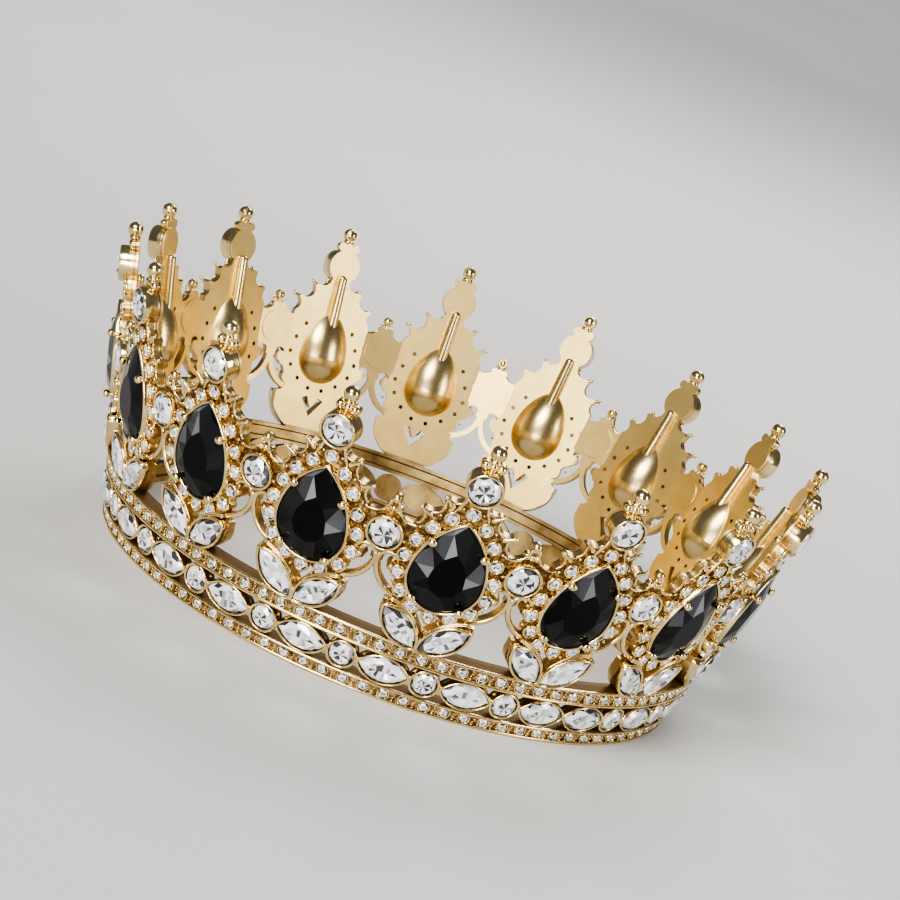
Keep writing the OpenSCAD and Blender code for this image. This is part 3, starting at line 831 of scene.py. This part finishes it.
def small_settings():
    """Seats and prongs of the halos, and seats and grains of the rails."""
    seat = sweep(circle(HALO_STONE_R), HALO_SEAT)
    make("halo_seats", [(seat, panel(k, u, s, HALO_SEAT_N)) for k in range(PANELS) for u, s in HALO_SPOTS],
         GOLD)
    prongs = Part()
    for offset in HALO_PRONG_OFFSETS:
        for u, s in along(pear(offset), HALO_STONES, 0.5):
            ball(prongs, (u, s, HALO_PRONG_N), HALO_PRONG_R, GRAIN_SIDES, GRAIN_ROWS)
    make("halo_prongs", [(prongs, panel(k)) for k in range(PANELS)], GOLD)
    seat = sweep(circle(RAIL_STONE_R, RAIL_SEAT_STEPS), RAIL_SEAT)
    grains = Part()
    for x, y, r in RAIL_GRAINS:
        ball(grains, (x, y, RAIL_GRAIN_N), r, GRAIN_SIDES, GRAIN_ROWS)
    for rail in RAILS:
        make(rail.name + "_seats", [(seat, on_rail(rail, i)) for i in range(rail.stones)]
             + [(grains, on_rail(rail, i + 0.5)) for i in range(rail.stones)], GOLD)


# Rounded lips of the large settings: offset from the stone and height, from the outer foot inward
PEAR_LIP = ((0.8, 0.2), (0.82, 2.15), (0.7, 2.4), (0.45, 2.5), (0.22, 2.4), (0.12, 2.1))
SPIRE_LIP = ((0.78, 0.2), (0.8, 2.6), (0.68, 2.85), (0.45, 2.95), (0.25, 2.85), (0.16, 2.5))
JOINER_LIP = ((0.78, -0.2), (0.8, 1.7), (0.68, 1.95), (0.45, 2.05), (0.25, 1.95), (0.16, 1.6))
LEAF_LIP = ((0.78, 0.2), (0.8, 2.3), (0.66, 2.55), (0.45, 2.62), (0.25, 2.5), (0.16, 2.2))
MARQUISE_LIP = ((0.62, -0.2), (0.64, 1.7), (0.52, 1.95), (0.38, 2.02), (0.22, 1.9), (0.14, 1.6))
BAND_ROUND_LIP = ((0.78, -0.2), (0.8, 1.6), (0.66, 1.85), (0.45, 1.93), (0.25, 1.8), (0.16, 1.5))


def large_settings():
    """Lips around the large stones."""
    lip, spire_lip = sweep(pear, PEAR_LIP), sweep(circle(ROUND_R), SPIRE_LIP)
    make("pear_lips", [(lip, panel(k)) for k in range(PANELS)]
         + [(spire_lip, panel(k, 0, SPIRE_S)) for k in range(PANELS)], GOLD)
    lip = sweep(JOINER.outline, JOINER_LIP)
    make("joiner_lips", [(lip, joiner(k, JOINER_S)) for k in range(PANELS)], GOLD)
    lip = sweep(LEAF.outline, LEAF_LIP)
    make("leaf_lips", [(lip, leaf_place(k, side)) for k in range(PANELS) for side in (-1, 1)], GOLD)
    lip, round_lip = sweep(MARQUISE.outline, MARQUISE_LIP), sweep(BAND_ROUND.outline, BAND_ROUND_LIP)
    make("band_lips", [(lip, band(i)) for i in range(MARQUISES)]
         + [(round_lip, band(i + 0.5)) for i in range(BAND_ROUNDS)], GOLD)


# Wires along the edges of the rails: height, height out of the wall and radius
RAIL_EDGES = ((0.95, 1.75, 0.42), (4.25, 1.75, 0.36), (13.4, 1.75, 0.36), (17.45, 1.75, 0.38))

# Right half of a panel's trim. Wire down the side of the neck, and its radius
NECK = [(2.6, 61.9, 0.9), (2.9, 60.6, 0.9), (3.5, 58.9, 0.8), (4.3, 57.2, 0.7)]
NECK_R = 0.42
# Rims of the cast thorns: centre and radius of the round bite, its angles, and the thorn's tip
THORN_RIMS = (((5.2, 61.6), 2.3, 205, 296, (7.3, 60.1)),
              ((9.6, 57.4), 2.5, 290, 160, (6.9, 59.5)),
              ((9.6, 57.4), 2.5, 170, 296, (12.0, 55.7)),
              ((12.9, 52.8), 2.2, 240, 140, (11.5, 55.0)))
THORN_RIM_OFFSET, THORN_RIM_N, THORN_TIP_N = 0.25, 0.45, 0.75
THORN_RIM_RADII = [0.32] * 12 + [0.31, 0.30, 0.28, 0.22]
# Straight thorns between the ring stones: root and tip, radii from root to tip, and the ball on the tip
# as radius, sides and rows
THORNS = (((4.9, 57.9, 0.4), (7.5, 59.9, 0.7)),
          ((9.2, 53.9, 0.4), (12.1, 55.4, 0.7)))
THORN_RADII = [0.75, 0.68, 0.6, 0.52, 0.46, 0.42]
THORN_BALL = (0.55, 10, 6)
# Double wire outside each leaf stone: centre, radii and angles, then height, radius, steps and sides
LEAF_WIRE_CENTRE, LEAF_WIRE_RADII, LEAF_WIRE_ANGLES = (12.8, 15.8), (13.05, 13.55), (102, 152)
LEAF_WIRE_N, LEAF_WIRE_R, LEAF_WIRE_STEPS, LEAF_WIRE_SIDES = 1.5, 0.3, 16, 6
# Knobs on the panel's edge and under the pear: place, radius, sides and rows
KNOBS = (((13.2, 36.8, 0.6), 0.85, 10, 6), ((12.3, 36.9, 0.5), 0.6, 8, 5))
LEAF_KNOB = ((0, 25.5, 0.6), 0.85, 10, 6)

# Right scroll of a joiner: arcs as centre, radius, angles and steps, at one height, with their radii
CURL = (-3.05, 37.6, 2.6, 152, -20, 18)
CURL_RADII = [0.6] * 15 + [0.58, 0.56, 0.53, 0.5]
SCROLL = (-9.2, 37.6, 8.9, 8, -84, 26)
SCROLL_RADII = [0.6] + [0.66] * 26
SCROLL_N = 0.3
# Wire on the side of the joiner's collar
COLLAR = (5.2, 53.6, 4.15, 180, 290, 16)
COLLAR_N, COLLAR_R = 0.35, 0.38

# Beads at the top of a panel and of a joiner: place, radius, sides and rows, and the bead row's places
TOP_BALL = ((0, BALL_S, -0.6), 2.03, 16, 11)
TOP_NECK = ((0, 72.85, -0.5), 1.6, 12, 7)
TOP_NECK_SQUASH = (1, 0.5, 0.9)
BEAD_ROW_X, BEAD_ROW_S, BEAD_ROW_N, BEAD_R = (-2, 0, 2), 71.3, -0.35, 1.27
JOINER_BALL = ((0, JOINER_BALL_S, -0.6), 1.42, 14, 9)
JOINER_ROW_X, JOINER_ROW_S, JOINER_ROW_N, JOINER_BEAD_R = (-1.4, 0, 1.4), 51.3, -0.4, 0.97
BEAD_SIDES, BEAD_ROWS = 12, 8

# Claws of a pear: place, and how far the tip reaches in over the stone. A claw's wire is given as shift
# outward and height, with its radii, and its ball sits part of the way in to the tip
CLAWS = ((6.95, 48.5, -0.45), (-6.95, 48.5, 0.45), (6.55, 32.2, -0.4), (-6.55, 32.2, 0.4))
CLAW_WIRE, CLAW_RADII = ((0.5, 1.0), (0.4, 2.2), (0.0, 3.2)), [0.55, 0.55, 0.62, 0.62]
CLAW_TIP_N, CLAW_BALL_N, CLAW_BALL_R = 3.5, 3.45, 1.2
CLAW_BALL_SHARE, CLAW_BALL_SQUASH = 0.7, (1.1, 0.9, 0.8)


def rail_edges():
    """Wires along the edges of both rails."""
    edges = Part()
    for s, n, r in RAIL_EDGES:
        hoop(edges, s, n, r)
    make("rail_edges", [(edges, WHOLE_CROWN)], GOLD)


def panel_wires():
    """Wires and knobs on the edge of each panel: neck, thorns and leaves."""
    wires = Part()
    rim_steps, thorn_steps = len(THORN_RIM_RADII) - 2, len(THORN_RADII) - 1
    for flip in BOTH_SIDES:
        tube(wires, flip(NECK), NECK_R)
        for (u, s), r, start, end, tip in THORN_RIMS:
            rim = arc(u, s, r + THORN_RIM_OFFSET, start, end, rim_steps, THORN_RIM_N)
            tube(wires, flip(rim + [tip + (THORN_TIP_N,)]), THORN_RIM_RADII)
        for root, tip in THORNS:
            path = [tuple(a + (b - a) * i / thorn_steps for a, b in zip(root, tip))
                    for i in range(thorn_steps + 1)]
            tube(wires, flip(path), THORN_RADII)
            ball(wires, flip([tip])[0], *THORN_BALL)
        for r in LEAF_WIRE_RADII:
            path = arc(*LEAF_WIRE_CENTRE, r, *LEAF_WIRE_ANGLES, LEAF_WIRE_STEPS, LEAF_WIRE_N)
            tube(wires, flip(path), LEAF_WIRE_R, LEAF_WIRE_SIDES)
        for spot, r, sides, rows in KNOBS:
            ball(wires, flip([spot])[0], r, sides, rows)
    ball(wires, *LEAF_KNOB)
    make("panel_wires", [(wires, panel(k)) for k in range(PANELS)], GOLD)


def scroll_wires():
    """C scrolls between the panels and the wires of the collar above them."""
    wires = Part()
    for flip in BOTH_SIDES:
        tube(wires, flip(arc(*CURL, SCROLL_N)), CURL_RADII)
        tube(wires, flip(arc(*SCROLL, SCROLL_N)), SCROLL_RADII)
        tube(wires, flip(arc(*COLLAR, COLLAR_N)), COLLAR_R)
    make("scroll_wires", [(wires, joiner(k)) for k in range(PANELS)], GOLD)


def beads_and_claws():
    """Balls and bead rows at the tops of panels and joiners, and the four claws of each pear."""
    top = Part()
    ball(top, *TOP_BALL)
    ball(top, *TOP_NECK, TOP_NECK_SQUASH)
    for x in BEAD_ROW_X:
        ball(top, (x, BEAD_ROW_S, BEAD_ROW_N), BEAD_R, BEAD_SIDES, BEAD_ROWS)
    for x, s, reach in CLAWS:
        out = math.copysign(1, x)
        tip = (x + reach, s, CLAW_TIP_N)
        tube(top, [(x + out * shift, s, n) for shift, n in CLAW_WIRE] + [tip], CLAW_RADII)
        ball(top, (x + CLAW_BALL_SHARE * reach, s, CLAW_BALL_N), CLAW_BALL_R, BEAD_SIDES, BEAD_ROWS,
             CLAW_BALL_SQUASH)
    joiner_top = Part()
    ball(joiner_top, *JOINER_BALL)
    for x in JOINER_ROW_X:
        ball(joiner_top, (x, JOINER_ROW_S, JOINER_ROW_N), JOINER_BEAD_R, BEAD_SIDES, BEAD_ROWS)
    make("beads_and_claws", [(top, panel(k)) for k in range(PANELS)]
         + [(joiner_top, joiner(k)) for k in range(PANELS)], GOLD)


# Floor, lights and camera, in metres
MIDDLE = (0, 0, 0.035)
FLOOR_HALF = 60.0
WARM_WHITE = (1.0, 0.98, 0.95)


def floor():
    """A plain pale floor."""
    material, tree, shader = new_material("floor")
    colour = ramp(tree, noise(tree, 3.0), [(0.3, (0.55, 0.545, 0.53)), (0.7, (0.59, 0.585, 0.57))])
    tree.links.new(colour, shader.inputs["Base Color"])
    shader.inputs["Roughness"].default_value = 0.75
    mesh = bpy.data.meshes.new("floor")
    corners = [(x * FLOOR_HALF, y * FLOOR_HALF, 0) for x, y in ((-1, -1), (1, -1), (1, 1), (-1, 1))]
    mesh.from_pydata(corners, [], [(0, 1, 2, 3)])
    mesh.materials.append(material)
    obj = bpy.data.objects.new("floor", mesh)
    bpy.context.scene.collection.objects.link(obj)


def light(name, kind, at, power, colour):
    """A light at a place, aimed at the middle of the crown."""
    data = bpy.data.lights.new(name, kind)
    data.energy, data.color = power, colour
    obj = bpy.data.objects.new(name, data)
    obj.location = at
    obj.rotation_euler = (Vector(MIDDLE) - Vector(at)).to_track_quat("-Z", "Y").to_euler()
    bpy.context.scene.collection.objects.link(obj)
    return data


def area(name, at, size, power, colour=(1, 1, 1)):
    """A rectangular light of that width and height."""
    data = light(name, "AREA", at, power, colour)
    data.shape = "RECTANGLE"
    data.size, data.size_y = size


def studio():
    """Soft sky, a large sun from the left and three softboxes."""
    world = bpy.data.worlds.new("studio")
    bpy.context.scene.world = world
    world.use_nodes = True
    background = world.node_tree.nodes["Background"]
    background.inputs["Color"].default_value = (0.80, 0.83, 0.88, 1)
    background.inputs["Strength"].default_value = 0.16
    sun = light("sun", "SUN", (-0.55, -0.75, 1.0), 3.4, WARM_WHITE)
    sun.angle = math.radians(28)
    area("front", (-0.35, -1.0, 0.22), (0.5, 0.3), 8, WARM_WHITE)
    area("fill", (0.9, -0.5, 0.45), (0.3, 0.5), 5)
    area("back", (0.3, 0.9, 0.8), (0.6, 0.35), 9, (1.0, 0.98, 0.94))


def add_camera():
    """The photograph's viewpoint: place, then pan from +X, tilt from level and roll."""
    spot = (-0.10955, -0.86382, 0.26281)
    pan, tilt, roll = (math.radians(a) for a in (82.706, -14.018, 21.456))
    ahead = Vector((math.cos(tilt) * math.cos(pan), math.cos(tilt) * math.sin(pan), math.sin(tilt)))
    level = Vector((math.sin(pan), -math.cos(pan), 0))
    above = level.cross(ahead)
    right = math.cos(roll) * level + math.sin(roll) * above
    up = right.cross(ahead)
    camera = bpy.data.objects.new("camera", bpy.data.cameras.new("camera"))
    bpy.context.scene.collection.objects.link(camera)
    camera.matrix_world = Matrix.Translation(spot) @ Matrix((right, up, -ahead)).transposed().to_4x4()
    camera.data.sensor_width = 36
    camera.data.lens = 136
    camera.data.clip_start, camera.data.clip_end = 0.05, 200
    bpy.context.scene.camera = camera
    bpy.context.scene.view_settings.look = "AgX - Medium High Contrast"


large_stones()
stone_fields()
small_stones()
small_settings()
large_settings()
rail_edges()
panel_wires()
scroll_wires()
beads_and_claws()
floor()
studio()
add_camera()
